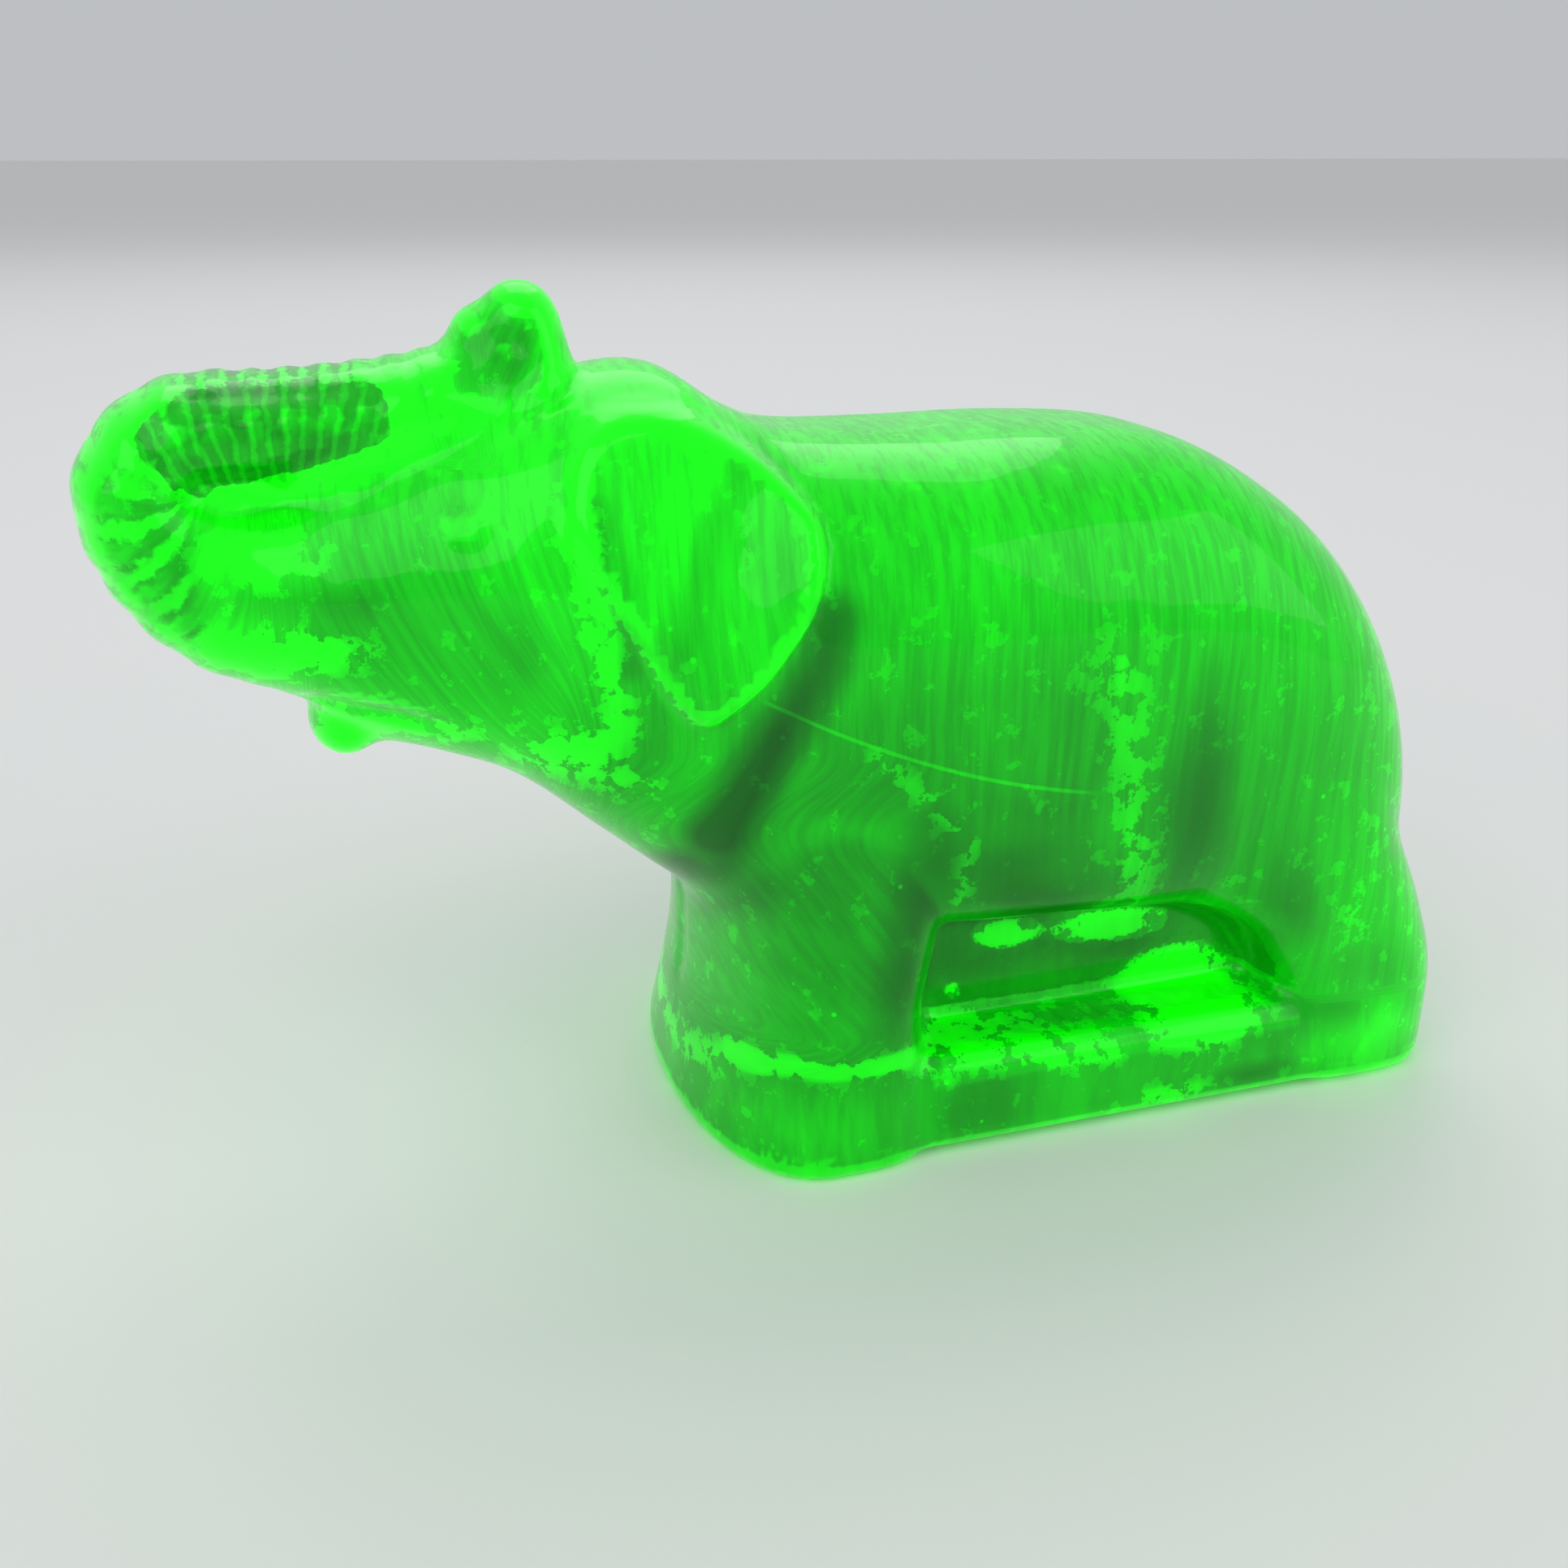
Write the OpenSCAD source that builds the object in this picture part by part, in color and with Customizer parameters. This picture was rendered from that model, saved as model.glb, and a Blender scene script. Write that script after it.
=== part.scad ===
// Solid pressed-glass elephant: one casting that stands on its own slab.
// The elephant faces -Y, its left side is +X, and the flat underside is at Z = 0.
// The origin is under the middle of the bounding box.

/* [Figure] */
// Length over all, from the curl of the trunk to the rump
figure_length = 153.5; // [110:0.5:190]
// Half of the width across the flanks
flank_half_width = 27; // [24:0.5:30]

/* [Legs and base] */
// Height of the slab that joins the four feet
slab_height = 12.5; // [9:0.5:15]
// Half of the width of the slab
slab_half_width = 26.5; // [24:0.5:29]
// Half of the width across the front feet
foot_half_width = 28; // [25:0.5:31]
// Half of the thickness of the recessed glass between the front and the back legs
web_half_width = 17; // [10:0.5:23]
// Radius of the rounded bottom edge
bottom_edge = 2.4; // [0.6:0.1:3]

/* [Head] */
// Half of the width across the brow
brow_half_width = 19.5; // [16:0.5:22]
// Half of the width of the trunk at its curl
trunk_half_width = 11.5; // [8:0.5:14]
// Radius of the thick rim of an ear
ear_rim = 1.8; // [1:0.1:2.5]

/* [Hidden] */
// The lengths below are those of a figure this long, and the whole figure is scaled from it
drawn_length = 153.5;
// Where the middle of that figure lies along Y in the tables below
drawn_middle = 0.75;
// Points round a section
ring_points = 32;
// Sections put in for each station of the body, the trunk and the legs
body_steps = 3;
trunk_steps = 4;
leg_steps = 2;
// Facets round the small rounded lumps
lump_facets = 24;

// Muzzle to rump: y, lowest z, highest z, half width, squareness above and below
body_stations = [
    [-58, 56.5, 73, 7.5, 2, 2],
    [-54, 52, 77.5, 12, 2.2, 2.2],
    [-45.5, 48, 80, 15, 2.3, 2.3],
    [-36, 44, 83, brow_half_width - 1.5, 2.3, 2.3],
    [-26.5, 36, 86.2, brow_half_width, 2.4, 2.3],
    [-18.5, 29.5, 86.4, brow_half_width + 1.5, 2.5, 2.4],
    [-11, 26.5, 82, flank_half_width - 4.5, 2.6, 2.8],
    [-4, 26, 79.6, flank_half_width - 2, 2.7, 4.5],
    [9, 26.5, 79, flank_half_width, 2.8, 6.5],
    [24.5, 25.5, 79, flank_half_width, 2.8, 6.5],
    [39, 23.5, 77.5, flank_half_width, 2.8, 5],
    [50.5, 19, 72, flank_half_width - 0.5, 2.7, 3.4],
    [59, 13.5, 65, flank_half_width - 2, 2.6, 3],
    [65.5, 8.5, 55.9, flank_half_width - 4.5, 2.5, 2.6],
    [70, 5, 45.4, flank_half_width - 9.5, 2.4, 2.4],
    [73, 6, 33.5, flank_half_width - 15.5, 2.2, 2.2],
    [75, 10, 24, flank_half_width - 22, 2, 2]
];

// Centre line of the trunk in the mid-plane: y, z, half thickness, half width
trunk_stations = [
    [-42, 65.5, 11.5, trunk_half_width + 3.5],
    [-52.5, 65.2, 10.6, trunk_half_width + 2.5],
    [-61.5, 66.8, 9.6, trunk_half_width + 1.5],
    [-67.8, 71.3, 7.3, trunk_half_width + 0.5],
    [-69.6, 77, 6.1, trunk_half_width],
    [-65.3, 81.2, 5.6, trunk_half_width - 0.5],
    [-56, 81.7, 5.4, trunk_half_width - 1],
    [-46.5, 82.4, 5.4, trunk_half_width - 2],
    [-39.3, 83.8, 5.2, trunk_half_width - 3],
    [-34.2, 87.4, 4, trunk_half_width - 4.5]
];

// Front pair of legs: z, front y, rear y, half width, squareness of the front and of the rear
front_leg_stations = [
    [0, -18, 7, foot_half_width - bottom_edge, 2.2, 4],
    [bottom_edge, -19.9, 9, foot_half_width, 2.2, 4],
    [8.5, -18.4, 8.5, foot_half_width - 0.8, 2, 4],
    [17, -16.9, 7.5, foot_half_width - 1.4, 1.9, 4],
    [26, -16.6, 9, foot_half_width - 1.4, 1.9, 4],
    [34.5, -16.6, 11.5, foot_half_width - 1.8, 2, 3.6],
    [42, -15.2, 10, foot_half_width - 3.4, 2.1, 2.8],
    [49, -12.6, 5, foot_half_width - 6.5, 2.1, 2.4],
    [55, -9.5, 0, foot_half_width - 12, 2.1, 2.2]
];

// Back pair of legs: z, front y, rear y, half width, squareness of the front and of the rear
back_leg_stations = [
    [0, 53, 75, slab_half_width - bottom_edge, 4, 3.4],
    [bottom_edge, 52, 77.2, slab_half_width, 4, 3.4],
    [12, 50.5, 77.3, slab_half_width, 4.5, 3.4],
    [20, 46, 75.6, flank_half_width - 0.2, 4.5, 3],
    [28, 38.5, 72.4, flank_half_width - 0.2, 4, 3],
    [38, 37, 67.4, flank_half_width - 2, 3, 3],
    [48, 42, 60, flank_half_width - 7, 2.6, 2.6],
    [54, 46, 55, flank_half_width - 13, 2.2, 2.2]
];

// Left ear as a fan from its root on the brow: x, y, z
ear_outline = [
    [19, -31, 74],
    [16, -29, 81.5],
    [15.5, -21, 84],
    [18.5, -12, 80.8],
    [22.5, -6.5, 73.5],
    [24.8, -8, 65.5],
    [25, -12.5, 57.8],
    [24, -18.5, 53.2],
    [22.8, -23.5, 58.5],
    [21.5, -28.5, 67.2]
];

// A value between the stations b and c of a table, on a Catmull-Rom curve
function between(a, b, c, d, t) =
    (2 * b + (c - a) * t + (2 * a - 5 * b + 4 * c - d) * t * t
    + (3 * b - a - 3 * c + d) * t * t * t) / 2;

// The stations of a table, with more of them put in along smooth curves
function smoothed(table, steps) =
    let (last = len(table) - 1)
    [
        for (i = [0 : last - 1])
        for (k = [0 : steps - 1])
        between(table[max(i - 1, 0)], table[i], table[i + 1], table[min(i + 2, last)], k / steps),
        table[last]
    ];

// A cosine or a sine, drawn out towards the corners of a superellipse
function squared(v, squareness) = sign(v) * pow(abs(v), 2 / squareness);

// Angle of point i of a ring
function ring_angle(i) = 360 * i / ring_points;

// A ring across the Y axis
function body_ring(s) = [
    for (i = [0 : ring_points - 1])
    let (squareness = ring_angle(i) <= 180 ? s[4] : s[5])
    [
        s[3] * squared(cos(ring_angle(i)), squareness),
        s[0],
        (s[1] + s[2]) / 2 + (s[2] - s[1]) / 2 * squared(sin(ring_angle(i)), squareness)
    ]
];

// A ring across the Z axis, taken the other way round so that its outside faces out
function leg_ring(s) = [
    for (i = [0 : ring_points - 1])
    let (squareness = ring_angle(i) <= 180 ? s[4] : s[5])
    [
        s[3] * squared(cos(ring_angle(i)), squareness),
        (s[1] + s[2]) / 2 - (s[2] - s[1]) / 2 * squared(sin(ring_angle(i)), squareness),
        s[0]
    ]
];

// A ring across a centre line in the mid-plane that heads along (dy, dz)
function trunk_ring(s, dy, dz) = [
    for (i = [0 : ring_points - 1])
    let (across = s[2] * sin(ring_angle(i)), run = norm([dy, dz]))
    [
        s[3] * squared(cos(ring_angle(i)), 2.3),
        s[0] - across * dz / run,
        s[1] + across * dy / run
    ]
];

// A closed solid through a list of rings
module skin(rings) {
    count = len(rings);
    sides = len(rings[0]);
    first_cap = [for (i = [sides - 1 : -1 : 0]) i];
    last_cap = [for (i = [0 : sides - 1]) (count - 1) * sides + i];
    walls = [
        for (k = [0 : count - 2])
        for (i = [0 : sides - 1])
        let (a = k * sides, b = a + sides, j = (i + 1) % sides)
        [a + i, a + j, b + j, b + i]
    ];
    polyhedron(points = [for (r = rings) for (p = r) p], faces = concat([first_cap], walls, [last_cap]));
}

// A ball stretched to the radii given
module lump(centre, radii) {
    translate(centre) scale(radii) sphere(1, $fn = lump_facets);
}

module torso_and_head() {
    skin([for (s = smoothed(body_stations, body_steps)) body_ring(s)]);
}

module trunk() {
    line = smoothed(trunk_stations, trunk_steps);
    last = len(line) - 1;
    skin([
        for (i = [0 : last])
        let (from = line[max(i - 1, 0)], to = line[min(i + 1, last)])
        trunk_ring(line[i], to[0] - from[0], to[1] - from[1])
    ]);
}

// The knob at the end of the trunk, laid back on the forehead
module trunk_tip() {
    hull() {
        lump([0, -35.2, 89.2], [5.8, 3.8, 3.6]);
        lump([0, -31.8, 91], [5.5, 3.9, 4]);
        lump([0, -31.2, 84], [7.5, 5.2, 7]);
    }
}

// The thinner glass inside the curl of the trunk
module curl_web() {
    hull() {
        lump([0, -63, 76], [8.5, 6, 7]);
        lump([0, -46, 78], [9.5, 8, 7]);
    }
}

module lower_lip() {
    hull() {
        lump([0, -52.8, 51], [6.2, 3.8, 3.9]);
        lump([0, -45, 55.5], [9, 6, 6]);
    }
}

// One ear, raised on the side of the head
module ear() {
    root = [9, -18, 68];
    hull() {
        for (p = ear_outline) translate(p - [ear_rim, 0, 0]) sphere(ear_rim, $fn = 12);
        lump(root, [6, 12, 14]);
    }
}

module front_legs() {
    skin([for (s = smoothed(front_leg_stations, leg_steps)) leg_ring(s)]);
}

module back_legs() {
    skin([for (s = smoothed(back_leg_stations, leg_steps)) leg_ring(s)]);
}

// The recessed glass that fills the space between the front and the back legs
module leg_web() {
    translate([-web_half_width, 0, slab_height / 2]) cube([2 * web_half_width, 58, 26]);
}

// One thin level of the slab, taken in by inset all round
module slab_level(z, inset) {
    corner = 14;
    thickness = 0.1;
    front = -6;
    rear = 77.3;
    for (side = [-1, 1], y = [front + corner, rear - corner])
        translate([side * (slab_half_width - corner), y, z])
            cylinder(r = corner - inset, h = thickness, $fn = 2 * lump_facets);
}

module base_slab() {
    top_edge = 4;
    hull() {
        slab_level(0, bottom_edge);
        slab_level(0.3 * bottom_edge, 0.3 * bottom_edge);
        slab_level(bottom_edge, 0);
        slab_level(slab_height - top_edge, 0);
        slab_level(slab_height - 0.3 * top_edge, 0.3 * top_edge);
        slab_level(slab_height, top_edge);
    }
}

// Low relief down the middle of the rump
module tail() {
    hull() {
        lump([0, 64.6, 52.5], [2.4, 3.4, 4]);
        lump([0, 70.6, 35], [2, 2.2, 4]);
    }
}

module glass_elephant() {
    color([0.1, 0.95, 0.1])
        scale(figure_length / drawn_length)
        translate([0, -drawn_middle, 0]) {
            torso_and_head();
            trunk();
            trunk_tip();
            curl_web();
            lower_lip();
            for (side = [0, 1]) mirror([side, 0, 0]) ear();
            front_legs();
            back_legs();
            leg_web();
            base_slab();
            tail();
        }
}

glass_elephant();
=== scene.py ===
"""Solid pressed uranium-glass elephant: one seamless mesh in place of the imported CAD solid.

The shape is worked out in millimetres as a distance field: body, trunk, legs and slab are separate
fields that are blended together, given relief (ears, eyes, mouth, rings), cut flat underneath and
then turned into one mesh. Only one side is worked out, and the other is its mirror image.
"""
import math

import bpy
import numpy as np
import openvdb
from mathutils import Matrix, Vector


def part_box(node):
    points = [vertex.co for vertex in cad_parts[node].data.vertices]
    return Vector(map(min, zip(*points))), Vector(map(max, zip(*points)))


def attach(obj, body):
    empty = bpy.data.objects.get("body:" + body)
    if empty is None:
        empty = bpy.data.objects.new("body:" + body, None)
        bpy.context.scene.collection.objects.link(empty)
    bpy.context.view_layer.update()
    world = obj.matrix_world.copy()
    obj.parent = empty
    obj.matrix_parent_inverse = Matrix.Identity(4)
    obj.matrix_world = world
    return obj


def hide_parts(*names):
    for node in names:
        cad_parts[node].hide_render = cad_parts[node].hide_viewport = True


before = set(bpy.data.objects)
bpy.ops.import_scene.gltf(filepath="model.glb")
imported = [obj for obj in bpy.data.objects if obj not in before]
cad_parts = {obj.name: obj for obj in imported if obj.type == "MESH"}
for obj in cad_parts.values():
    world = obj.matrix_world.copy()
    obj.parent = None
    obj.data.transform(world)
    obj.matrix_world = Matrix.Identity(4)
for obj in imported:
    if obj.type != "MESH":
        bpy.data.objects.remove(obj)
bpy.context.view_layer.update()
MM = 0.001

# ---------------------------------------------------------------- dimensions, in millimetres
# Where the middle of the figure lies in the tables below
MIDDLE = Vector((0.0, 0.75, 0.0))
# Half widths of the flanks, the brow, the trunk at its curl, the front feet, the slab and the leg web
FLANK = 27.0
BROW = 19.5
TRUNK = 11.5
FOOT = 28.0
SLAB = 26.5
WEB = 17.0
# Height of the slab, and the radius of the rounded bottom edge
SLAB_HEIGHT = 12.5
BOTTOM_EDGE = 2.4

# Muzzle to rump: y, lowest z, highest z, half width, squareness above and below
BODY = [
    (-58.0, 56.5, 73.0, 7.5, 2.0, 2.0),
    (-54.0, 52.0, 77.5, 12.0, 2.2, 2.2),
    (-45.5, 48.0, 80.0, 15.0, 2.3, 2.3),
    (-36.0, 44.0, 83.0, BROW - 1.5, 2.3, 2.3),
    (-26.5, 36.0, 86.2, BROW, 2.4, 2.3),
    (-18.5, 29.5, 86.4, BROW + 1.5, 2.5, 2.4),
    (-11.0, 26.5, 82.0, FLANK - 4.5, 2.6, 2.8),
    (-4.0, 26.0, 79.6, FLANK - 2.0, 2.7, 4.5),
    (9.0, 26.5, 79.0, FLANK, 2.8, 6.5),
    (24.5, 25.5, 79.0, FLANK, 2.8, 6.5),
    (39.0, 23.5, 77.5, FLANK, 2.8, 5.0),
    (50.5, 19.0, 72.0, FLANK - 0.5, 2.7, 3.4),
    (59.0, 13.5, 65.0, FLANK - 2.0, 2.6, 3.0),
    (65.5, 8.5, 55.9, FLANK - 4.5, 2.5, 2.6),
    (70.0, 5.0, 45.4, FLANK - 9.5, 2.4, 2.4),
    (73.0, 6.0, 33.5, FLANK - 15.5, 2.2, 2.2),
    (75.0, 10.0, 24.0, FLANK - 22.0, 2.0, 2.0),
]

# Centre line of the trunk: y, z, half thickness, half width
TRUNK_LINE = [
    (-42.0, 65.5, 11.5, TRUNK + 3.5),
    (-52.5, 65.2, 10.6, TRUNK + 2.5),
    (-61.5, 66.8, 9.6, TRUNK + 1.5),
    (-67.8, 71.3, 7.3, TRUNK + 0.5),
    (-69.6, 77.0, 6.1, TRUNK),
    (-65.3, 81.2, 5.6, TRUNK - 0.5),
    (-56.0, 81.7, 5.4, TRUNK - 1.0),
    (-46.5, 82.4, 5.4, TRUNK - 2.0),
    (-39.3, 83.8, 5.2, TRUNK - 3.0),
    (-34.2, 87.4, 4.0, TRUNK - 4.5),
]

# Leg pairs: z, front y, rear y, half width, squareness of the front and of the rear
FRONT_LEGS = [
    (0.0, -20.0, 9.0, FOOT, 2.2, 4.0),
    (8.5, -18.4, 8.5, FOOT - 0.8, 2.0, 4.0),
    (17.0, -16.9, 7.5, FOOT - 1.4, 1.9, 4.0),
    (26.0, -16.6, 9.0, FOOT - 1.4, 1.9, 4.0),
    (34.5, -16.6, 11.5, FOOT - 1.8, 2.0, 3.6),
    (42.0, -15.2, 10.0, FOOT - 3.4, 2.1, 2.8),
    (49.0, -12.6, 5.0, FOOT - 6.5, 2.1, 2.4),
    (55.0, -9.5, 0.0, FOOT - 12.0, 2.1, 2.2),
]
BACK_LEGS = [
    (0.0, 52.0, 76.4, SLAB, 4.0, 3.4),
    (12.0, 50.5, 76.6, SLAB, 4.5, 3.4),
    (20.0, 46.0, 75.2, FLANK - 0.2, 4.5, 3.0),
    (28.0, 38.5, 72.0, FLANK - 0.2, 4.0, 3.0),
    (38.0, 37.0, 67.2, FLANK - 2.0, 3.0, 3.0),
    (48.0, 42.0, 60.0, FLANK - 7.0, 2.6, 2.6),
    (54.0, 46.0, 55.0, FLANK - 13.0, 2.2, 2.2),
]

# Outline of an ear in side view: y, z
EAR = [
    (-30.9, 74.0), (-29.5, 80.5), (-25.5, 84.0), (-19.0, 84.0), (-12.5, 80.8), (-8.0, 76.6),
    (-5.9, 72.5), (-6.9, 66.0), (-9.8, 60.8), (-13.5, 56.2), (-18.6, 52.9), (-22.2, 55.8),
    (-24.6, 60.0), (-28.5, 67.1),
]

# Painted shade and painted light on the glow over the side, in side view: a negative strength paints
# shade, a positive one paints light. Spots: y, z, half length, half height, strength.
PAINTED_SHADING_SPOTS = [
    (-16.0, 35.0, 7.0, 9.0, -0.25),
    (-8.0, 6.0, 17.0, 9.0, 0.22),
    (15.0, 36.0, 13.0, 12.0, -0.30),
    (36.0, 40.0, 6.0, 21.0, -0.36),
    (20.0, 29.0, 15.0, 8.0, -0.32),
    (12.0, 6.0, 9.0, 7.0, -0.15),
    (61.0, 16.0, 12.0, 7.0, -0.18),
    (49.0, 24.0, 7.0, 11.0, -0.25),
    (-36.0, 61.0, 6.0, 12.0, -0.18),
    (-47.0, 66.0, 13.0, 13.0, -0.18),
    (-57.0, 67.0, 12.0, 11.0, -0.12),
    (61.0, 6.0, 12.0, 6.0, 0.42),
    (-15.5, 62.0, 9.0, 9.0, 0.14),
    (9.0, 56.0, 17.0, 10.0, -0.08),
    (47.5, 3.7, 8.0, 2.4, -0.30),
    (-38.2, 74.4, 1.3, 3.6, 0.20),
    (-18.0, 72.0, 9.0, 12.0, 0.05),
]
# Strokes of painted shade and light, such as the shade down from the rear of the ear: points y, z along
# the stroke, its half breadth and its strength
PAINTED_SHADING_STROKES = [
    ([(-5.8, 64.0), (-6.8, 60.0), (-12.3, 50.1), (-17.0, 40.5)], 4.6, -0.55),
    ([(-19.9, 35.0), (-20.9, 25.0), (-21.5, 17.5)], 3.5, -0.35),
    ([(5.0, 40.0), (3.6, 31.6), (1.0, 18.7)], 5.5, -0.30),
    ([(-27.9, 74.9), (-25.8, 59.6)], 2.4, -0.25),
    ([(-64.0, 67.6), (-50.0, 66.6)], 2.6, -0.14),
]
# Places where the painted highlights lie: bright, ragged blotches of painted light
PAINTED_HIGHLIGHT_SPOTS = [
    (60.0, 38.0, 10.0, 28.0, 0.26),
    (40.5, 13.0, 13.0, 8.0, 1.6),
    (11.5, 16.2, 2.4, 2.0, 0.9),
    (18.0, 22.4, 6.5, 3.6, 0.95),
    (32.0, 21.6, 11.0, 4.2, 1.00),
    (36.0, 3.2, 11.0, 2.6, 0.85),
    (-30.8, 49.9, 10.0, 6.0, 1.1),
    (-25.0, 46.0, 7.0, 4.0, 0.6),
    (-58.8, 70.8, 9.0, 4.0, 1.25),
    (-58.0, 61.9, 14.0, 4.6, 1.30),
    (-45.0, 52.4, 10.0, 3.2, 0.9),
    (-53.0, 51.5, 6.0, 5.0, 1.3),
    (57.0, 24.0, 7.0, 6.0, 0.3),
]
PAINTED_HIGHLIGHT_STROKES = [
    ([(24.5, 58.0), (27.1, 45.3), (29.0, 29.0)], 6.5, 0.60),
    ([(-30.1, 74.5), (-28.9, 64.5), (-26.5, 54.0)], 3.8, 0.80),
    ([(-1.5, 49.5), (4.3, 44.2), (8.6, 39.3), (8.2, 32.3)], 2.6, 0.6),
    ([(-18.5, 7.5), (-16.5, 10.2), (-14.0, 12.4)], 2.4, 0.7),
    ([(-14.0, 12.4), (-10.0, 13.9), (2.6, 13.6)], 2.1, 1.3),
    ([(15.0, 22.6), (27.0, 21.8), (38.0, 21.2)], 3.2, 0.42),
    ([(5.0, 12.4), (16.0, 11.5), (28.0, 10.0)], 3.6, 0.75),
    ([(-62.0, 76.4), (-55.0, 77.2), (-47.4, 79.4), (-40.0, 82.0)], 1.8, 0.9),
]

# Outlines, in side view, of the shallow panes on the trunk's side and on its tip
TRUNK_PANE = [
    (-68.8, 81.6), (-67.0, 84.4), (-63.0, 86.2), (-54.5, 86.4), (-47.0, 86.2), (-46.2, 83.6),
    (-47.1, 80.8), (-55.2, 78.4), (-62.9, 76.4),
]
TIP_PANE = [(-36.8, 91.0), (-31.2, 91.6), (-30.3, 86.8), (-33.6, 84.4), (-39.4, 85.6)]

# Corners of the CAD solid's box, in the millimetres of the tables
LOW, HIGH = (Vector(corner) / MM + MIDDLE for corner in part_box("glass_elephant"))
# Distance between the rings round the trunk, and the angle between the ribs that fan out in its pane
RING_GAP = 3.5
RIB_ANGLE = 0.064
# Size of a grid cell, and the empty room kept round the figure
VOXEL = 0.7
MARGIN = 3.0
# The levels of the grid are moved by this much, so that none lies in the flat underside
LEVEL_SHIFT = 0.37 * VOXEL


# ---------------------------------------------------------------- curves and grids
def catmull_rom(before, start, end, after, steps):
    """Rows from each start up to its end, on a smooth curve that heeds the rows before and after."""
    a, b, c, d = (rows[:, None, :] for rows in (before, start, end, after))
    t = (np.arange(steps) / steps)[None, :, None]
    square = 2 * a - 5 * b + 4 * c - d
    cube = 3 * b - a - 3 * c + d
    curve = (2 * b + (c - a) * t + square * t ** 2 + cube * t ** 3) / 2
    return curve.reshape(-1, start.shape[1])


def smoothed(table, steps=12):
    """The rows of a table with more put in between them along smooth curves."""
    rows = np.array(table)
    padded = np.vstack([rows[:1], rows, rows[-1:]])
    curve = catmull_rom(padded[:-3], padded[1:-2], padded[2:-1], padded[3:], steps)
    return np.vstack([curve, rows[-1:]])


def closed(points, steps=8):
    """A closed outline with more points put in along smooth curves."""
    rows = np.array(points)
    return catmull_rom(*(np.roll(rows, 1 - i, axis=0) for i in range(4)), steps)


def axis(low, high):
    """Grid places from low to high, a voxel apart."""
    return np.arange(low, high + VOXEL, VOXEL)


XS = axis(0.0, HIGH.x + MARGIN)
YS = axis(LOW.y - MARGIN, HIGH.y + MARGIN)
ZS = axis(-MARGIN, HIGH.z + MARGIN) + LEVEL_SHIFT
X = XS[:, None, None]
Y = YS[None, :, None]
Z = ZS[None, None, :]
YZ_Y, YZ_Z = np.meshgrid(YS, ZS, indexing="ij")


def at(table, where, column):
    """One column of a smoothed table, read at the places given."""
    return np.interp(where, table[:, 0], table[:, column])


def distance(level):
    """A distance to the surface where level is 1, from a field that only has the right shape."""
    slopes = np.gradient(level, VOXEL)
    steepness = np.sqrt(sum(s * s for s in slopes))
    return np.clip((level - 1) / np.maximum(steepness, 1e-3), -12, 40)


def blend(a, b, radius):
    """The union of two fields, with the crease between them filled to about that radius."""
    fill = np.maximum(radius - np.abs(a - b), 0) / radius
    return np.minimum(a, b) - fill * fill * radius / 4


def ramp(value, low, high):
    """0 below low and 1 above high, smooth in between."""
    t = np.clip((value - low) / (high - low), 0, 1)
    return t * t * (3 - 2 * t)


def ball(centre, radii):
    """A rough distance to an ellipsoid with the radii given."""
    parts = [(g - c) / r for g, c, r in zip((X, Y, Z), centre, radii)]
    near = np.sqrt(sum(p * p for p in parts))
    slope = np.sqrt(sum((p / r) ** 2 for p, r in zip(parts, radii)))
    return near * (near - 1) / np.maximum(slope, 1e-6)


def outline_distance(points):
    """Distance from each place in side view to a closed outline, negative inside it."""
    starts = points
    ends = np.roll(points, -1, axis=0)
    nearest = np.full(YZ_Y.shape, 1e9)
    inside = np.zeros(YZ_Y.shape, bool)
    for (y0, z0), (y1, z1) in zip(starts, ends):
        ey, ez = y1 - y0, z1 - z0
        t = np.clip(((YZ_Y - y0) * ey + (YZ_Z - z0) * ez) / (ey * ey + ez * ez), 0, 1)
        nearest = np.minimum(nearest, np.hypot(YZ_Y - y0 - t * ey, YZ_Z - z0 - t * ez))
        crosses = (z0 > YZ_Z) != (z1 > YZ_Z)
        at_y = y0 + (YZ_Z - z0) * ey / (ez if ez else 1e-9)
        inside ^= crosses & (YZ_Y < at_y)
    return np.where(inside, -nearest, nearest)


# ---------------------------------------------------------------- the parts of the casting
def body_field():
    """Torso, neck and head."""
    rows = smoothed(BODY)
    low, high, half, above, below = (at(rows, YS, i)[None, :, None] for i in range(1, 6))
    middle = (low + high) / 2
    power = np.where(Z > middle, above, below)
    level = ((X / half) ** power + np.abs((Z - middle) / (high - low) * 2) ** power) ** (1 / power)
    # Past its first and its last section the body closes in a cap this deep
    cap = 3
    past = np.maximum(BODY[0][0] - Y, 0) + np.maximum(Y - BODY[-1][0], 0)
    return distance(level + past / cap)


def trunk_line():
    """The trunk at each place in side view: arc length, offset outwards, half thickness and half width."""
    rows = smoothed(TRUNK_LINE)
    run = np.hypot(*np.diff(rows[:, :2], axis=0).T)
    arc = np.concatenate([[0], np.cumsum(run)])
    nearest = np.full(YZ_Y.shape, 1e9)
    along, outward, thick, wide = (np.zeros(YZ_Y.shape) for _ in range(4))
    for i in range(len(run)):
        y0, z0, thick0, wide0 = rows[i]
        y1, z1, thick1, wide1 = rows[i + 1]
        ey, ez = y1 - y0, z1 - z0
        t = np.clip(((YZ_Y - y0) * ey + (YZ_Z - z0) * ez) / (ey * ey + ez * ez), 0, 1)
        dy, dz = YZ_Y - y0 - t * ey, YZ_Z - z0 - t * ez
        here = thick0 + t * (thick1 - thick0)
        closer = np.hypot(dy, dz) / here < nearest
        nearest = np.where(closer, np.hypot(dy, dz) / here, nearest)
        along = np.where(closer, arc[i] + t * run[i], along)
        outward = np.where(closer, np.sign(dz * ey - dy * ez) * np.hypot(dy, dz), outward)
        thick = np.where(closer, here, thick)
        wide = np.where(closer, wide0 + t * (wide1 - wide0), wide)
    return along, outward, thick, wide


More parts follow.
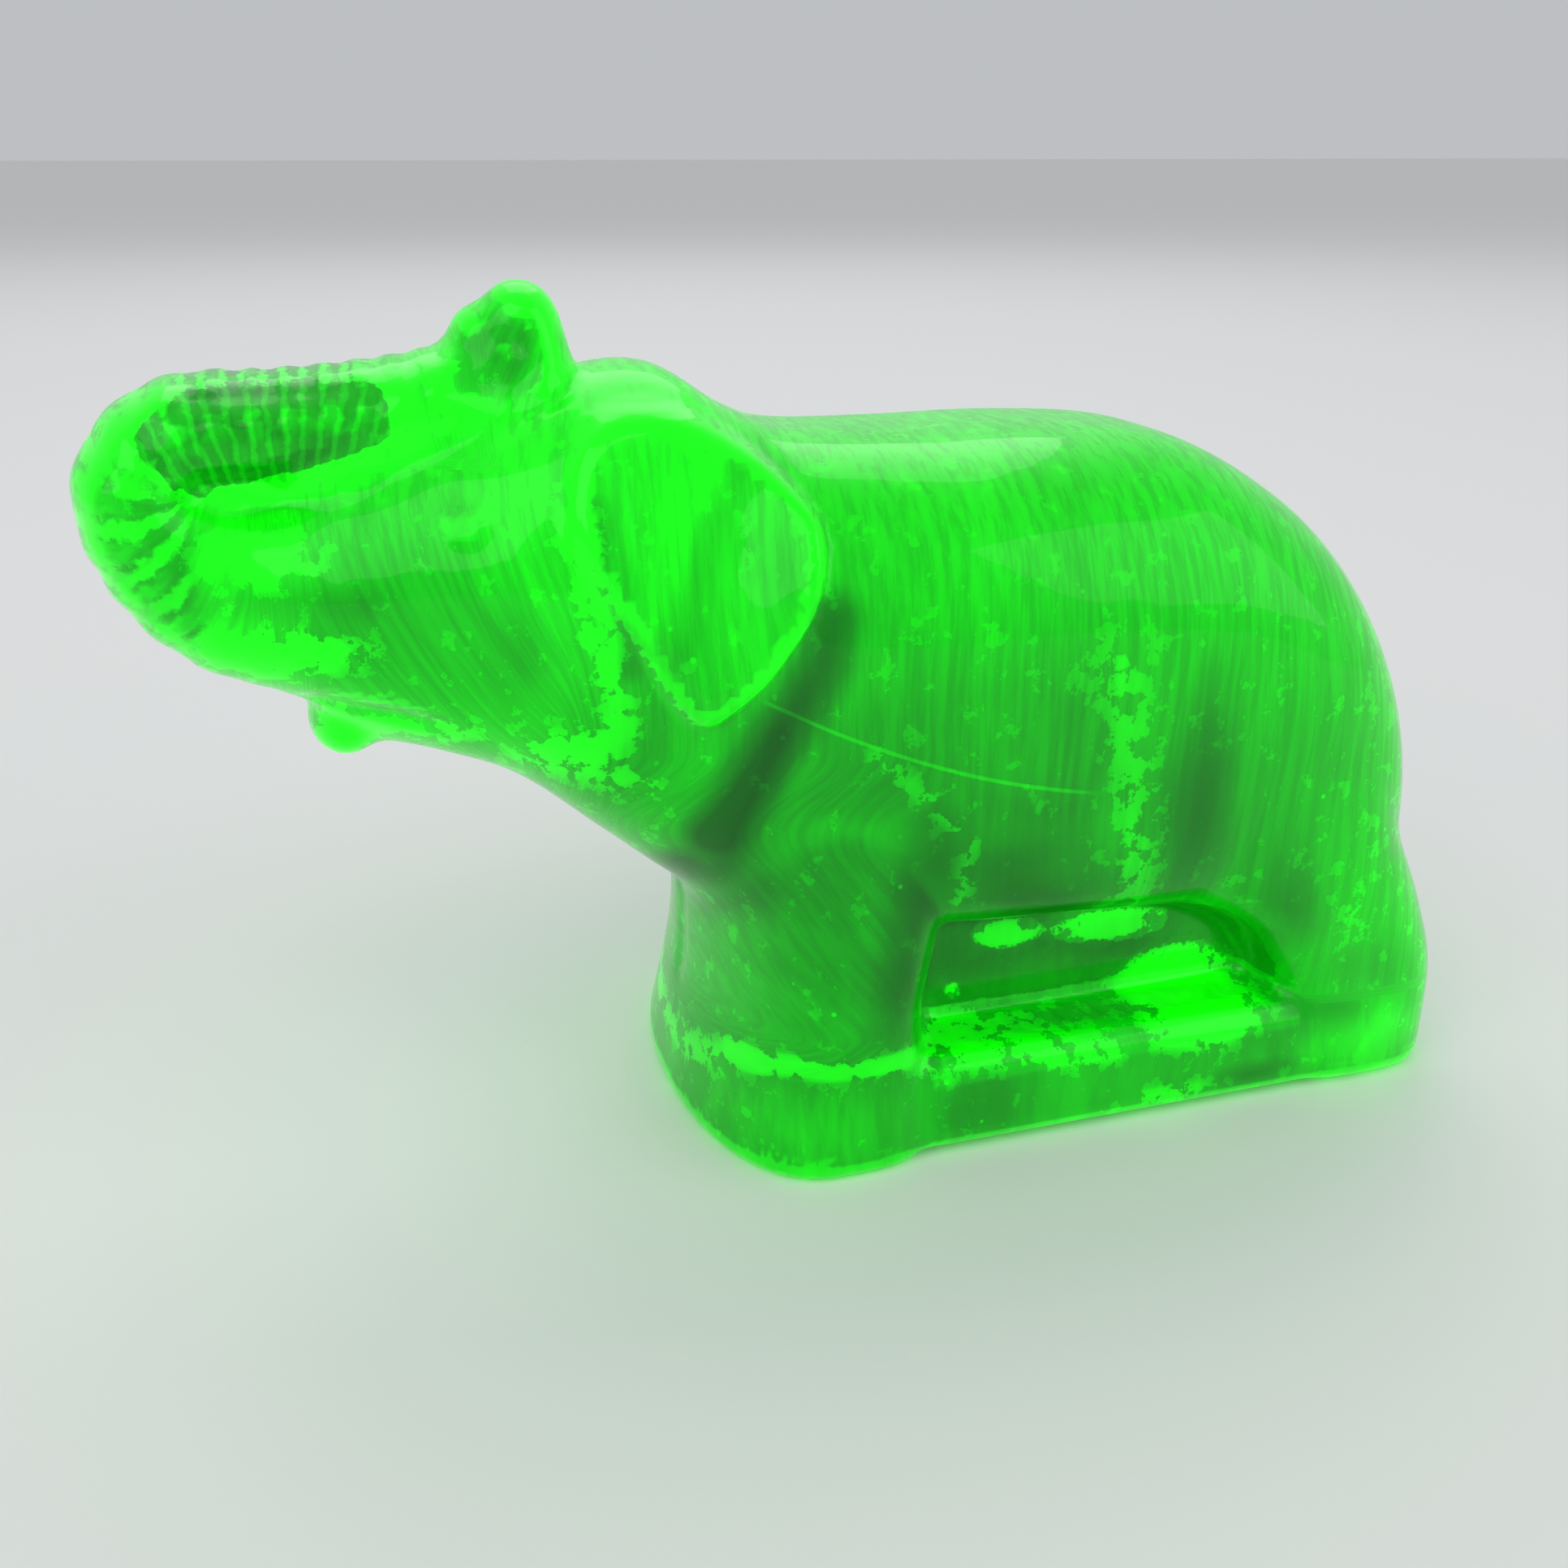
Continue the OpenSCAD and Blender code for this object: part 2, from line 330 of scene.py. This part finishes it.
def trunk_field(line):
    """The trunk, from the face round its curl and back to the forehead."""
    _, outward, thick, wide = (layer[None] for layer in line)
    power = 2.3
    side, off = X / wide, np.abs(outward) / thick
    level = (side ** power + off ** power) ** (1 / power)
    slope = np.hypot(side ** (power - 1) / wide, off ** (power - 1) / thick)
    slope /= np.maximum(level, 1e-3) ** (power - 1)
    return (level - 1) / np.maximum(slope, 0.5 / wide)


def legs_field(table):
    """One pair of legs as a single block."""
    rows = smoothed(table)
    front, rear, half, ahead, behind = (at(rows, ZS, i)[None, None, :] for i in range(1, 6))
    middle = (front + rear) / 2
    power = np.where(Y < middle, ahead, behind)
    level = ((X / half) ** power + np.abs((Y - middle) / (rear - front) * 2) ** power) ** (1 / power)
    # Above their last section the legs close in a cap this deep
    cap = 4
    past = np.maximum(Z - table[-1][0], 0)
    return distance(level + past / cap)


def slab_field():
    """The slab that joins the four feet."""
    corner, top_edge, front, rear = 14.0, 4.0, -6.0, 76.5
    centre_y, half_y = (front + rear) / 2, (rear - front) / 2
    ax, ay = X - (SLAB - corner), np.abs(Y - centre_y) - (half_y - corner)
    plan = np.hypot(np.maximum(ax, 0), np.maximum(ay, 0)) + np.minimum(np.maximum(ax, ay), 0) - corner
    middle = SLAB_HEIGHT / 2
    edge = np.where(Z > middle, top_edge, BOTTOM_EDGE)
    side, up = plan + edge, np.abs(Z - middle) - middle + edge
    return np.hypot(np.maximum(side, 0), np.maximum(up, 0)) + np.minimum(np.maximum(side, up), 0) - edge


def web_field():
    """The recessed glass between the front and the back legs."""
    centre, half, edge = (0.0, 29.0, 19.0), (WEB, 29.0, 13.0), 2.0
    parts = [np.abs(g - c) - h + edge for g, c, h in zip((X, Y, Z), centre, half)]
    out = np.sqrt(sum(np.maximum(p, 0) ** 2 for p in parts))
    return out + np.minimum(np.maximum(np.maximum(parts[0], parts[1]), parts[2]), 0) - edge


def tip_field():
    """The knob at the end of the trunk, laid back on the forehead."""
    knob = blend(ball((0, -35.4, 89.4), (5.6, 3.6, 3.4)), ball((0, -31.8, 91.0), (5.5, 3.9, 4.0)), 1.6)
    return blend(knob, ball((0, -31.2, 84.0), (7.5, 5.2, 7.0)), 3.0)


def curl_field():
    """The thinner glass inside the curl of the trunk."""
    return blend(ball((0, -62, 76), (8.0, 7, 6)), ball((0, -50, 77), (9.0, 9, 6)), 4.0)


def lip_field():
    """The lower lip."""
    return blend(ball((0, -52.8, 51.0), (6.2, 3.8, 3.9)), ball((0, -46, 54.6), (9.0, 6.5, 6.0)), 3.0)


def tail_field():
    """The short tail, which shows as two bumps down the middle of the rump."""
    return blend(ball((0, 64.6, 52.5), (2.4, 3.4, 4.5)), ball((0, 70.4, 37.0), (2.0, 2.4, 7.0)), 4.0)


def foot_groove():
    """How deep the groove down the middle of the front legs is."""
    groove = np.hypot(X / 1.6, np.maximum(Y + 18.2, 0) / 2.0)
    return 1.2 * np.exp(-groove ** 2) * ramp(Z, 12.0, 18.0) * ramp(-Z, -30.0, -24.0)


def trunk_rings(line):
    """How deep the rings round the trunk are, in side view."""
    along, outward, thick, _ = line
    across = outward / thick
    on_trunk = ramp(across, -0.1, 0.6) * ramp(-across, -2.2, -1.4)
    from_face = ramp(along, 13.0, 21.0) * ramp(-along, -74.0, -62.0)
    return 0.3 * np.cos(math.pi * along / RING_GAP) ** 2 * on_trunk * from_face


def ear_relief():
    """The raised ear, which stands out most at the rear and is hollowed inside its rim."""
    ear = outline_distance(closed(EAR))
    rear = ramp(YZ_Y - 0.25 * YZ_Z, -38.0, -26.0)
    return (1.3 + 1.7 * rear) * ramp(-ear, -0.3, 1.5) - 1.2 * ramp(-ear, 1.8, 9.0)


def eye_relief():
    """A low oval bead in a shallow ring."""
    eye = np.hypot((YZ_Y + 40.4) / 3.0, (YZ_Z - 73.6) / 2.0)
    return 0.25 * ramp(-eye, -1.0, -0.3) - 0.10 * np.exp(-((eye - 1.3) / 0.35) ** 2)


def mouth_groove():
    """How deep the line of the mouth is."""
    off_line = np.abs(YZ_Z - (55.6 - 0.2 * (YZ_Y + 55.0)))
    return 0.7 * np.exp(-(off_line / 0.9) ** 2) * ramp(YZ_Y, -58.0, -54.0) * ramp(-YZ_Y, 42.0, 47.0)


def relief():
    """How far the sides stand out from the plain shape, in side view."""
    height = ear_relief()
    height -= 0.5 * ramp(-outline_distance(closed(TRUNK_PANE)), -0.5, 1.2)
    height -= 0.8 * ramp(-outline_distance(closed(TIP_PANE)), -0.6, 1.4)
    height += eye_relief()
    return height - mouth_groove()


def elephant_field(line):
    """The whole casting: the parts blended together, cut flat below and carved."""
    whole = blend(body_field(), trunk_field(line), 3.0)
    whole = blend(whole, tip_field(), 1.2)
    whole = blend(whole, curl_field(), 1.5)
    whole = blend(whole, lip_field(), 2.0)
    whole = blend(whole, legs_field(FRONT_LEGS), 0.8 + 3.2 * ramp(-Y, 6.0, 13.0))
    whole = blend(whole, legs_field(BACK_LEGS), 3.0 - 2.4 * ramp(Y, 60.0, 68.0))
    whole = blend(whole, web_field(), 2.0)
    whole = blend(whole, slab_field(), 1.5)
    whole = blend(whole, tail_field(), 1.5)
    whole = whole + foot_groove()
    whole = whole + trunk_rings(line)[None] - relief()[None] * ramp(X, 3.0, 7.0)
    return -blend(-whole, Z, BOTTOM_EDGE)


def mesh_from(field, line, name):
    """One closed mesh round the inside of a field that was worked out for one side only."""
    both = np.concatenate([field[:0:-1], field], axis=0)
    grid = openvdb.FloatGrid()
    grid.copyFromArray(both.astype(np.float32))
    cells, quads = grid.convertToQuads(isovalue=0.0)
    points = cells * VOXEL + np.array([-XS[-1], YS[0], ZS[0]])
    data = bpy.data.meshes.new(name)
    data.from_pydata(((points - MIDDLE) * MM).tolist(), [], quads.tolist())
    data.update()
    data.shade_smooth()
    for layer, values in surface_layers(both, line, cells, points).items():
        data.attributes.new(layer, "FLOAT", "POINT").data.foreach_set("value", values.astype(np.float32))
    piece = bpy.data.objects.new(name, data)
    bpy.context.scene.collection.objects.link(piece)
    return piece


# ---------------------------------------------------------------- where the glass glows, with its painted shade and painted highlights
def spots(y, z, table):
    """Soft ellipses in side view, added up."""
    total = np.zeros(y.shape)
    for y0, z0, half_y, half_z, strength in table:
        total += strength * ramp(-np.hypot((y - y0) / half_y, (z - z0) / half_z), -1.0, 0.0)
    return total


def strokes(y, z, table):
    """Soft lines in side view, added up."""
    total = np.zeros(y.shape)
    for points, half, strength in table:
        nearest = np.full(y.shape, 1e9)
        for (y0, z0), (y1, z1) in zip(points, points[1:]):
            ey, ez = y1 - y0, z1 - z0
            t = np.clip(((y - y0) * ey + (z - z0) * ez) / (ey * ey + ez * ez), 0, 1)
            nearest = np.minimum(nearest, np.hypot(y - y0 - t * ey, z - z0 - t * ez))
        total += strength * ramp(-nearest / half, -1.0, 0.0)
    return total


def bend(field, cells):
    """How sharply the surface bends outwards at each point, per millimetre."""
    step = 2
    i, j, k = (np.clip(np.rint(cells[:, direction]).astype(int), step, n - 1 - step)
               for direction, n in enumerate(field.shape))
    around = (field[i - step, j, k] + field[i + step, j, k]
              + field[i, j - step, k] + field[i, j + step, k]
              + field[i, j, k - step] + field[i, j, k + step])
    return (around - 6 * field[i, j, k]) / (step * VOXEL) ** 2


def side_view(layer, y, z):
    """A side-view grid read at the places given."""
    at_y, at_z = (y - YS[0]) / VOXEL, (z - ZS[0]) / VOXEL
    i, j = (np.clip(np.floor(v).astype(int), 0, n - 2) for v, n in zip((at_y, at_z), layer.shape))
    u, v = at_y - i, at_z - j
    near = layer[i, j] * (1 - v) + layer[i, j + 1] * v
    far = layer[i + 1, j] * (1 - v) + layer[i + 1, j + 1] * v
    return near * (1 - u) + far * u


def pane(outline, y, z):
    """1 inside an outline in side view and 0 outside it."""
    return side_view(ramp(-outline_distance(closed(outline)), -0.9, 0.9), y, z)


def streak_places(y, z, along, outward):
    """Two numbers for each point: one changes across the streaks, the other down their length."""
    sway = 0.35 * np.sin(z / 7.3 + y / 11.0) + 0.15 * np.sin(z / 3.7 - y / 6.1)
    leg = ramp(-y, -8.0, 2.0) * ramp(-z, -50.0, -38.0) * ramp(z, 12.0, 18.0)
    cheek = ramp(-y, 26.0, 33.0)
    across = y + sway + leg * 0.75 * (z - 30.0) + cheek * (0.35 * (z - 66.0) - 0.02 * (z - 66.0) ** 2)
    across *= 1 - 0.6 * ramp(-z, -13.0, -12.0)
    on_trunk = np.clip(ramp(-y, 55.0, 60.0) + ramp(-y, 36.0, 40.0) * ramp(z, 78.5, 79.5), 0, 1)
    return across + on_trunk * (along - across), z + on_trunk * (outward - z)


def surface_layers(field, line, cells, points):
    """Numbers kept at each point of the mesh, which the glass material reads, among them its painted
    shading, painted shade and painted highlights.
    """
    side, y, z = np.abs(points[:, 0]), points[:, 1], points[:, 2]
    along, outward, thick, _ = (side_view(layer, y, z) for layer in line)
    offset = outward / thick
    trunk_pane, tip_pane = pane(TRUNK_PANE, y, z), pane(TIP_PANE, y, z)
    front_of_trunk = ramp(-y, 63.5, 66.5) * ramp(-np.abs(offset + 0.1), -0.75, -0.55)
    front_of_trunk *= ramp(-along, -40, -34)
    outside = ramp(offset, 0.6, 0.95) * ramp(-offset, -2.2, -1.4)
    outside *= ramp(along, 15.0, 24.0) * ramp(-along, -66.0, -56.0)
    # Painted shade in the recess between the legs
    in_recess = ramp(-side, -24.5, -22.5) * ramp(y, 6.0, 8.0) * ramp(-y, -54.0, -50.0)
    in_recess *= ramp(z, 13.0, 15.0) * ramp(-z, -26.0, -24.5)

    # Painted shading of the glow: lighter towards the top, the rump and the front of the trunk, with the
    # painted shade and light of the spots and strokes added
    painted_glow_shading = 0.40 + 0.38 * ramp(z, 30.0, 84.0) + 0.16 * ramp(y, 48.0, 70.0) + 0.14 * ramp(-y, 58.0, 68.0)
    painted_glow_shading += spots(y, z, PAINTED_SHADING_SPOTS) + strokes(y, z, PAINTED_SHADING_STROKES)
    # Painted shade on the pane at the trunk's tip, on the front of the trunk and on its outer side
    painted_glow_shading -= 0.30 * tip_pane + 0.45 * front_of_trunk + 0.34 * outside
    # Painted highlights: bright, ragged blotches of painted light
    painted_highlight = spots(y, z, PAINTED_HIGHLIGHT_SPOTS) + strokes(y, z, PAINTED_HIGHLIGHT_STROKES)

    # Thin ribs fan out upwards in the pane on the trunk, and rings go round the trunk elsewhere
    fan = np.arctan2(y + 57.0, z - 58.0)
    across, down = streak_places(y, z, along, outward)
    return {
        "painted_glow_shading": painted_glow_shading,
        "painted_highlight": painted_highlight,
        # Painted shade in the recess and in the pane on the trunk, lifted where the painted highlights lie
        "painted_shade": in_recess + trunk_pane - painted_highlight,
        "bend": bend(field, cells),
        "ribs": 0.62 * trunk_pane + 0.50 * front_of_trunk + 0.40 * outside,
        "ribs_at": np.where(trunk_pane > 0.01, fan / RIB_ANGLE, along / RING_GAP),
        "across": across,
        "down": down,
    }


trunk = trunk_line()
elephant = mesh_from(elephant_field(trunk), trunk, "elephant_skin")
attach(elephant, "root")
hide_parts("glass_elephant")


# ---------------------------------------------------------------- materials
class Nodes:
    """Short calls for the nodes of one material."""

    def __init__(self, material):
        self.tree = material.node_tree

    def add(self, kind, inputs=(), **settings):
        made = self.tree.nodes.new(kind)
        for key, value in settings.items():
            setattr(made, key, value)
        for key, value in dict(inputs).items():
            self.feed(made.inputs[key], value)
        return made

    def feed(self, socket, value):
        if isinstance(value, bpy.types.NodeSocket):
            self.tree.links.new(value, socket)
        else:
            socket.default_value = value

    def maths(self, operation, a, b=0.0, c=0.0):
        return self.add("ShaderNodeMath", {0: a, 1: b, 2: c}, operation=operation).outputs[0]

    def layer(self, name):
        return self.add("ShaderNodeAttribute", attribute_name=name).outputs["Fac"]

    def ramp(self, value, low, high, to_low=0.0, to_high=1.0):
        inputs = {"Value": value, "From Min": low, "From Max": high, "To Min": to_low, "To Max": to_high}
        return self.add("ShaderNodeMapRange", inputs, interpolation_type="SMOOTHSTEP").outputs["Result"]

    def noise(self, vector, scale, detail, roughness):
        inputs = {"Vector": vector, "Scale": scale, "Detail": detail, "Roughness": roughness}
        return self.add("ShaderNodeTexNoise", inputs).outputs["Fac"]

    def colours(self, value, stops):
        made = self.add("ShaderNodeValToRGB", {"Fac": value})
        while len(made.color_ramp.elements) < len(stops):
            made.color_ramp.elements.new(0.5)
        for element, (place, colour) in zip(made.color_ramp.elements, stops):
            element.position = place
            element.color = (*colour, 1)
        return made.outputs["Color"]


def chill_streaks(n, mm):
    """Streaks that run down the sides, about a millimetre apart."""
    side = n.add("ShaderNodeSeparateXYZ", {0: mm}).outputs[0]
    places = {0: n.maths("MULTIPLY", side, 0.25), 1: n.layer("across"),
              2: n.maths("MULTIPLY", n.layer("down"), 0.07)}
    return n.noise(n.add("ShaderNodeCombineXYZ", places).outputs[0], 1.0, 3.0, 0.6)


def flank_thread(n, mm):
    """A thin line that curves back along the shoulder and flank."""
    _, y, z = n.add("ShaderNodeSeparateXYZ", {0: mm}).outputs
    y_from = n.maths("SUBTRACT", y, 2.1)
    curve = n.maths("MULTIPLY", n.maths("MULTIPLY", y_from, n.maths("ADD", y, 13.5)), 0.0045)
    line_z = n.maths("ADD", n.maths("MULTIPLY_ADD", y_from, -0.436, 48.9), curve)
    off_line = n.maths("ABSOLUTE", n.maths("SUBTRACT", z, line_z))
    on_flank = n.maths("MULTIPLY", n.ramp(y, -14.0, -12.0), n.ramp(y, 18.0, 24.0, 1.0, 0.0))
    return n.maths("MULTIPLY", n.ramp(off_line, 0.12, 0.32, 1.0, 0.0), on_flank)


def seed_bubbles(n, mm):
    """Scattered dots about half a millimetre across."""
    cells = n.add("ShaderNodeTexVoronoi", {"Vector": mm, "Scale": 0.16}).outputs
    return n.ramp(cells["Distance"], 0.035, 0.06, 1.0, 0.0)


def trunk_ribs(n, ragged):
    """Ribs in the pane on the trunk, and the rings round the trunk."""
    phase = n.maths("MULTIPLY_ADD", ragged, 0.22, n.layer("ribs_at"))
    return n.ramp(n.maths("COSINE", n.maths("MULTIPLY", phase, 2 * math.pi)), -0.1, 1.0)


def glow_level(n, mm, streaks):
    """How strongly the glass glows, from 0 to 1, with its painted shading, painted shade and painted
    highlights worked in.
    """
    ragged = n.ramp(n.noise(mm, 0.38, 5.0, 0.65), 0.34, 0.66, -0.6, 0.6)
    # Painted highlights, with ragged edges
    painted_highlight = n.ramp(n.maths("ADD", n.layer("painted_highlight"), ragged), 0.45, 0.58)
    # Painted shade, with ragged edges
    painted_shade = n.ramp(n.maths("MULTIPLY_ADD", ragged, 0.35, n.layer("painted_shade")), 0.36, 0.56)
    # Painted highlight where the surface bends outwards, strongest where it bends sharply
    rim = n.ramp(n.layer("bend"), 0.10, 0.42)

    level = n.maths("MULTIPLY", n.layer("painted_glow_shading"), n.ramp(streaks, 0.32, 0.68, 0.87, 1.13))
    level = n.maths("MULTIPLY_ADD", trunk_ribs(n, ragged), n.layer("ribs"), level)
    level = n.maths("MULTIPLY_ADD", painted_highlight, n.ramp(n.layer("painted_highlight"), 0.2, 1.0, 0.15, 0.55), level)
    level = n.maths("MULTIPLY", level, n.ramp(painted_shade, 0.0, 1.0, 1.0, 0.34))
    level = n.maths("MULTIPLY_ADD", rim, 0.30, level)
    level = n.maths("MULTIPLY_ADD", flank_thread(n, mm), 0.25, level)
    return n.maths("MULTIPLY_ADD", seed_bubbles(n, mm), 0.35, level)


def uranium_glass():
    """Green glass that glows by itself under a gloss coat: streaked, with painted shade, ragged painted
    highlights and a painted highlight where it bends.
    """
    material = bpy.data.materials.new("uranium_glass")
    material.use_nodes = True
    n = Nodes(material)
    place = n.add("ShaderNodeTexCoord").outputs["Object"]
    mm = n.add("ShaderNodeVectorMath", {0: place, 3: 1 / MM}, operation="SCALE").outputs[0]
    streaks = chill_streaks(n, mm)
    level = glow_level(n, mm, streaks)
    bump = n.add("ShaderNodeBump", {"Height": streaks, "Strength": 0.2, "Distance": 0.2 * MM}).outputs[0]

    shader = material.node_tree.nodes["Principled BSDF"]
    # Base and emission colours both follow the glow level, so the painted shade and highlights show in
    # both
    sockets = {
        "Base Color": n.colours(level, [(0.0, (0.001, 0.06, 0.002)), (0.5, (0.002, 0.22, 0.002)),
                                        (1.0, (0.004, 0.55, 0.002))]),
        "Emission Color": n.colours(level, [(0.0, (0.0, 0.004, 0.0)), (0.3, (0.0, 0.12, 0.002)),
                                            (0.6, (0.0, 0.46, 0.002)), (1.0, (0.003, 1.0, 0.0))]),
        "Roughness": 0.32,
        "Normal": bump,
        "Emission Strength": 0.60,
        "Transmission Weight": 0.9,
        "IOR": 1.5,
        "Specular IOR Level": 0.2,
        "Specular Tint": (0.2, 1.0, 0.3, 1),
        "Coat Weight": 0.6,
        "Coat Roughness": 0.04,
        "Coat IOR": 1.4,
    }
    for name, value in sockets.items():
        n.feed(shader.inputs[name], value)
    return material


elephant.data.materials.append(uranium_glass())


# ---------------------------------------------------------------- floor, light and camera
# Where the lamps point, in metres, and where the camera stands, in the millimetres of the tables
FIGURE_CENTRE = Vector((0, 0, 0.04))
CAMERA_PLACE = Vector((165.1, -54.2, 106.9))


def floor():
    """A plain pale floor, large enough that its edge is far off."""
    bpy.ops.mesh.primitive_plane_add(size=40.0)
    plane = bpy.context.object
    plane.name = "floor"
    material = bpy.data.materials.new("floor")
    material.use_nodes = True
    shader = material.node_tree.nodes["Principled BSDF"]
    shader.inputs["Base Color"].default_value = (0.86, 0.86, 0.85, 1)
    shader.inputs["Roughness"].default_value = 0.6
    plane.data.materials.append(material)


def lamp(name, place, size, power):
    """A square soft light that faces the middle of the figure."""
    data = bpy.data.lights.new(name, "AREA")
    data.energy = power
    data.size = size
    lamp_object = bpy.data.objects.new(name, data)
    lamp_object.location = place
    lamp_object.rotation_euler = (FIGURE_CENTRE - Vector(place)).to_track_quat("-Z", "Y").to_euler()
    bpy.context.scene.collection.objects.link(lamp_object)


def studio():
    """Plain soft light from all round."""
    world = bpy.data.worlds.new("studio")
    world.use_nodes = True
    background = world.node_tree.nodes["Background"]
    background.inputs["Color"].default_value = (0.85, 0.87, 0.9, 1)
    background.inputs["Strength"].default_value = 0.6
    bpy.context.scene.world = world
    bpy.context.scene.view_settings.view_transform = "Standard"


def viewpoint(aside, down):
    """The camera, which faces the figure from that far round to its left and looks that far down."""
    back = Vector((math.sin(aside) * math.cos(down), -math.cos(aside) * math.cos(down), math.sin(down)))
    data = bpy.data.cameras.new("camera")
    data.lens = 36.0
    data.clip_start = 0.01
    camera = bpy.data.objects.new("camera", data)
    camera.location = (CAMERA_PLACE - MIDDLE) * MM
    camera.rotation_mode = "QUATERNION"
    camera.rotation_quaternion = (-back).to_track_quat("-Z", "Y")
    bpy.context.scene.collection.objects.link(camera)
    bpy.context.scene.camera = camera


floor()
lamp("key", (0.9, -0.9, 1.2), 1.5, 8.0)
lamp("fill", (0.9, 1.1, 0.8), 1.2, 4.0)
lamp("back", (-1.0, 0.2, 1.3), 1.2, 5.0)
studio()
viewpoint(math.radians(73), math.radians(22))
